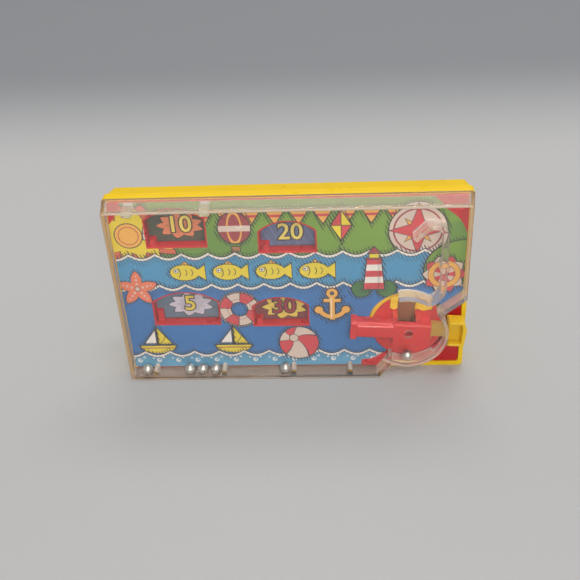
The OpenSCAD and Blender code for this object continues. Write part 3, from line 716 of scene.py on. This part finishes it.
def portShadePlate():
    # a brown plate in the hollow behind the loading port: a dark sheet that paints the shade in that
    # hollow
    bm = bmesh.new()
    bmesh.ops.create_cube(bm, size=1)
    size = [(shadePlate[key][1] - shadePlate[key][0]) * mm for key in ("x", "depth", "z")]
    bmesh.ops.scale(bm, verts=bm.verts, vec=size)
    bmesh.ops.bevel(bm, geom=bm.edges[:], offset=shadePlate["edge"] * mm, affect="EDGES",
                    segments=2, profile=0.5, material=-1)
    middle = [sum(shadePlate[key]) / 2 * mm for key in ("x", "depth", "z")]
    bmesh.ops.transform(bm, matrix=cannonPlace @ Matrix.Translation(middle), verts=bm.verts)
    pieceFrom(bm, "portShadePlate", paint["brown"], "cannon", "amber_plastic")


plastics = {
    "yellow": (250, 207, 16),
    "red": (196, 35, 37),
    "orangeRed": (204, 44, 39),
    "amber": (240, 196, 40),
    # brown is painted shade, used only for the plate behind the loading port
    "brown": (150, 92, 52),
}
shine = {"yellow": 0.34, "red": 0.32, "orangeRed": 0.22, "amber": 0.28, "brown": 0.4}
leverPaintedShade = {"x": 55.2, "blur": 0.4, "colour": (186, 146, 52)}  # mm, painted shade on the bar inside the round wall
paint = {key: mouldedPlastic(key + "Plastic", tone(*plastics[key]), shine[key]) for key in plastics}
leverPaint = mouldedPlastic("leverPlastic", tone(*plastics["amber"]), shine["amber"], leverPaintedShade)
clear = clearPlastic("clearPlastic")
plain = steel("plainSteel", tone(176, 176, 180), 0.24, (1, 1, 1), 0.3)
wire = steel("springWire", tone(188, 188, 192), 0.22, (0.1, 1, 1), 0.1)
bright = steel("ballSteel", tone(224, 218, 208), 0.25, (1, 1, 1), 0.5)

eased("rear_case", "rearCase", paint["yellow"], "game", "yellow_plastic")
eased("inner_tray", "innerTray", paint["red"], "game", "red_plastic")
eased("clear_cover", "clearCover", clear, "game", "clear_plastic")
eased("gun_body", "gunBody", paint["orangeRed"], "cannon", "orange_red_plastic")
eased("gun_carrier", "gunCarrier", paint["amber"], "cannon", "amber_plastic")
portShadePlate()
eased("firing_lever", "firingLever", leverPaint, "lever", "amber_plastic")
eased("case_screws", "caseScrews", plain, "game", "plain_steel")
eased("carrier_screw", "carrierScrew", plain, "cannon", "plain_steel")
eased("carrier_washer", "carrierWasher", plain, "cannon", "plain_steel")
eased("striker_pin", "strikerPin", plain, "lever", "plain_steel")
print("moulded and metal pieces dressed")

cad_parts["printed_card"].data.materials.clear()
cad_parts["printed_card"].data.materials.append(cardPrint())
for number, art in enumerate(pocketArt, 1):
    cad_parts[art["node"]].data.materials.clear()
    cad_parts[art["node"]].data.materials.append(pocketPrint(number, art))
print("card printed")

balls = {"across": 4.0}


def steelBall(number):
    body = "ball_%d" % number
    low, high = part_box(body)
    bm = bmesh.new()
    bmesh.ops.create_icosphere(bm, subdivisions=5, radius=balls["across"] / 2 * mm)
    bmesh.ops.translate(bm, verts=bm.verts, vec=(low + high) / 2)
    pieceFrom(bm, "steelBall%d" % number, bright, body, "ball_steel", body)


for number in range(1, 7):
    steelBall(number)

spring = {
    "from": -7.0, "to": 5.2,  # mm, the coils along the barrel from the pivot
    "low": -6.4, "depth": 10.6,  # mm
    "coil": 0.95, "wire": 0.22,  # mm, radii
    "turns": 12,
    "turnSteps": 18,
    # how the wire bends from the coil to its middle line: mm past the coil and mm aside,
    # height in coil radii, and degrees turned
    "bend": ((0.08, 0.26, 0.9, 20), (0.3, 0.42, 0.68, 30), (0.62, 0.36, 0.36, 25),
             (0.92, 0.14, 0.1, 15), (1.2, 0, 0, 0)),
    "hooks": (-9.9, 8.2),  # mm, where the wire's ends stand past the post and the tab
}


def leverSpring():
    s = spring
    bm = bmesh.new()
    ring = bmesh.ops.create_circle(bm, segments=10, radius=s["wire"] * mm, cap_ends=False)["verts"]
    bmesh.ops.rotate(bm, verts=ring, cent=(0, 0, 0), matrix=turned(90, "X"))
    bmesh.ops.translate(bm, verts=ring, vec=(s["from"] * mm, 0, s["coil"] * mm))
    steps, angle = s["turns"] * s["turnSteps"], 2 * math.pi * s["turns"]
    pitch = (s["to"] - s["from"]) * mm / steps
    start = bm.edges[:]
    coil = bmesh.ops.spin(bm, geom=start, cent=(0, 0, 0), axis=(1, 0, 0), dvec=(pitch, 0, 0),
                          space=Matrix(), angle=angle, steps=steps, use_duplicate=False)
    last = [e for e in coil["geom_last"] if isinstance(e, bmesh.types.BMEdge)]
    left, right = s["hooks"]
    for edges, foot, side, hook in ((start, s["from"], -1, left), (last, s["to"], 1, right)):
        route = [(foot + side * ahead, -side * aside, rise * s["coil"], turn)
                 for ahead, aside, rise, turn in s["bend"]]
        for x, y, z, turn in route + [(hook, 0, 0, 0)]:
            made = bmesh.ops.extrude_edge_only(bm, edges=edges)["geom"]
            edges = [g for g in made if isinstance(g, bmesh.types.BMEdge)]
            points = [g for g in made if isinstance(g, bmesh.types.BMVert)]
            middle = sum((v.co for v in points), Vector()) / len(points)
            goal = Vector((x, y, z)) * mm
            bmesh.ops.translate(bm, verts=points, vec=goal - middle)
            bmesh.ops.rotate(bm, verts=points, cent=goal, matrix=turned(turn, "Z"))
        bmesh.ops.contextual_create(bm, geom=edges)
    outward(bm)
    place = cannonPlace @ Matrix.Translation((0, s["depth"] * mm, s["low"] * mm))
    bmesh.ops.transform(bm, matrix=place, verts=bm.verts)
    piece = pieceFrom(bm, "leverSpring", wire, None, "spring_wire", "lever_spring", smoothTo=60)
    bent = s["bend"][-1][0]
    start, end = (place @ Vector((x * mm, 0, 0)) for x in (s["from"] - bent, s["to"] + bent))
    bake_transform(piece)


leverSpring()
print("balls and spring made")

figures = {
    "height": 6.4,  # mm
    "outline": 0.55,  # mm
    "bold": 0.12,  # mm
    "thick": 0.03,  # mm
    "right": 0.9, "drop": 0.2,  # mm, from the middle of the label
    "letter": 1.38,  # size of a letter's box for each mm of a figure's height
}


def figureMesh(text, grow, place):
    curve = bpy.data.curves.new("figures", "FONT")
    curve.body, curve.offset = text, grow * mm
    curve.size = figures["height"] * figures["letter"] * mm
    curve.extrude = figures["thick"] / 2 * mm
    curve.align_x, curve.align_y = "CENTER", "CENTER"
    curve.resolution_u = 6
    maker = bpy.data.objects.new("figures", curve)
    link(maker)
    placed = maker.evaluated_get(bpy.context.evaluated_depsgraph_get())
    mesh = bpy.data.meshes.new_from_object(placed)
    bpy.data.objects.remove(maker)
    mesh.transform(Matrix.Translation(place) @ turned(90, "X"))
    bm = bmesh.new()
    bm.from_mesh(mesh)
    bpy.data.meshes.remove(mesh)
    outward(bm)
    return bm


def ink(name, colour):
    f = Finish(name)
    grain = f.noise(0.3, 3)
    thin = tone(*[c * 0.8 for c in colour])
    return f.done(f.surface({
        "Base Color": f.mix(f.ramp(grain, 0.45, 0.8, 0, 0.25), tone(*colour), thin),
        "Roughness": f.ramp(grain, 0.3, 0.8, 0.4, 0.55),
        "Normal": f.bump(grain, 0.4, 0.006),
    }))


darkInk = ink("darkInk", (52, 40, 48))
for number, art in enumerate(pocketArt, 1):
    low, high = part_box(art["node"])
    middleX, middleZ = (low.x + high.x) / 2, (low.z + high.z) / 2
    layers = (("Edge", figures["outline"], 0.02, darkInk),
              ("", figures["bold"], 0.05, ink("ink%d" % number, art["ink"])))
    for part, grow, ahead, material in layers:
        place = (middleX + figures["right"] * mm, low.y - ahead * mm, middleZ - figures["drop"] * mm)
        bm = figureMesh(art["score"], grow, place)
        pieceFrom(bm, "figure%s%d" % (part, number), material, "game", "pocket_print")
print("figures placed")

studio = {
    "near": (186, 185, 184),  # the floor in front of the game, a little darker as painted shade, beside it and far behind it
    "floor": (190, 189, 188),
    "far": (142, 144, 147),
    "speck": (120, 120, 120),
    "front": (-0.06, 0.08),  # metres, where the tone in front goes over to the one beside the game
    "fade": (0.17, 0.335),  # metres behind the game
    "size": 3.0, "wall": 2.5,  # metres, half the floor's side and the backdrop's height
    "world": 0.58,
}
lamps = [
    # watts, place and size in metres: above and behind, above, and in front
    {"name": "keyLamp", "power": 15.0, "place": (0.3, 1.3, 2.2), "size": (1.5, 0.7)},
    {"name": "topLamp", "power": 7.8, "place": (0.2, -0.35, 2.1), "size": (0.8, 0.2)},
    {"name": "frontLamp", "power": 10.0, "place": (0.25, -1.6, 1.0), "size": (0.7, 0.14)},
]
lampAim = Vector((0, 0, 0.03))
camera = {
    "eye": (0.01822, -0.25226, 0.20262),
    "ahead": (-0.0614, 0.8285, -0.5566),
    "roll": -0.0578,  # radians
    "lens": 53.3, "sensor": 36,
}


def paper():
    f = Finish("paperFloor")
    y = f.part(f.coordinates(), "Y")
    front, back = studio["fade"]
    fade = {"Value": y, "From Min": front, "From Max": back}
    far = f.node("MapRange", {"interpolation_type": "SMOOTHSTEP"}, fade)
    # painted shade: the floor in front of the game a little darker
    near = f.ramp(y, *studio["front"], 1, 0)
    shade = f.mix(near, tone(*studio["floor"]), tone(*studio["near"]))
    shade = f.mix(far, shade, tone(*studio["far"]))
    shade = f.mix(f.ramp(f.noise(1.2, 4), 0.3, 0.7, 0, 0.03), shade, tone(*studio["speck"]))
    return f.done(f.surface({"Base Color": shade, "Roughness": 0.75, "Specular IOR Level": 0.2}))


def floor():
    # a sheet of paper that turns up into a backdrop
    bm = bmesh.new()
    bmesh.ops.create_grid(bm, x_segments=1, y_segments=1, size=studio["size"])
    back = [e for e in bm.edges if all(v.co.y > studio["size"] * 0.9 for v in e.verts)]
    made = bmesh.ops.extrude_edge_only(bm, edges=back)["geom"]
    wall = [g for g in made if isinstance(g, bmesh.types.BMVert)]
    bmesh.ops.translate(bm, verts=wall, vec=(0, 0, studio["wall"]))
    mesh = bpy.data.meshes.new("paperFloor")
    bm.to_mesh(mesh)
    bm.free()
    mesh.materials.append(paper())
    sheet = bpy.data.objects.new("paperFloor", mesh)
    link(sheet)
    sheet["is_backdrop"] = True


def lamp(values):
    data = bpy.data.lights.new(values["name"], "AREA")
    data.shape = "RECTANGLE"
    data.size, data.size_y = values["size"]
    data.energy = values["power"]
    made = bpy.data.objects.new(values["name"], data)
    made.location = values["place"]
    made.rotation_euler = (lampAim - made.location).to_track_quat("-Z", "Y").to_euler()
    link(made)


def photoCamera():
    ahead = Vector(camera["ahead"]).normalized()
    side = ahead.cross(Vector((0, 0, 1))).normalized()
    up = side.cross(ahead)
    turn = Matrix((side, up, -ahead)).transposed().to_4x4()
    data = bpy.data.cameras.new("photoCamera")
    data.lens, data.sensor_width = camera["lens"], camera["sensor"]
    data.clip_start = 0.01
    made = bpy.data.objects.new("photoCamera", data)
    roll = Matrix.Rotation(camera["roll"], 4, "Z")
    made.matrix_world = Matrix.Translation(camera["eye"]) @ turn @ roll
    link(made)
    bpy.context.scene.camera = made


floor()
for values in lamps:
    lamp(values)
photoCamera()
world = bpy.data.worlds.new("studio")
world.use_nodes = True
backdrop = world.node_tree.nodes["Background"].inputs
backdrop["Color"].default_value = (1, 1, 1, 1)
backdrop["Strength"].default_value = studio["world"]
bpy.context.scene.world = world
bpy.context.scene.view_settings.view_transform = "Standard"
print("studio set")

low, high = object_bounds()
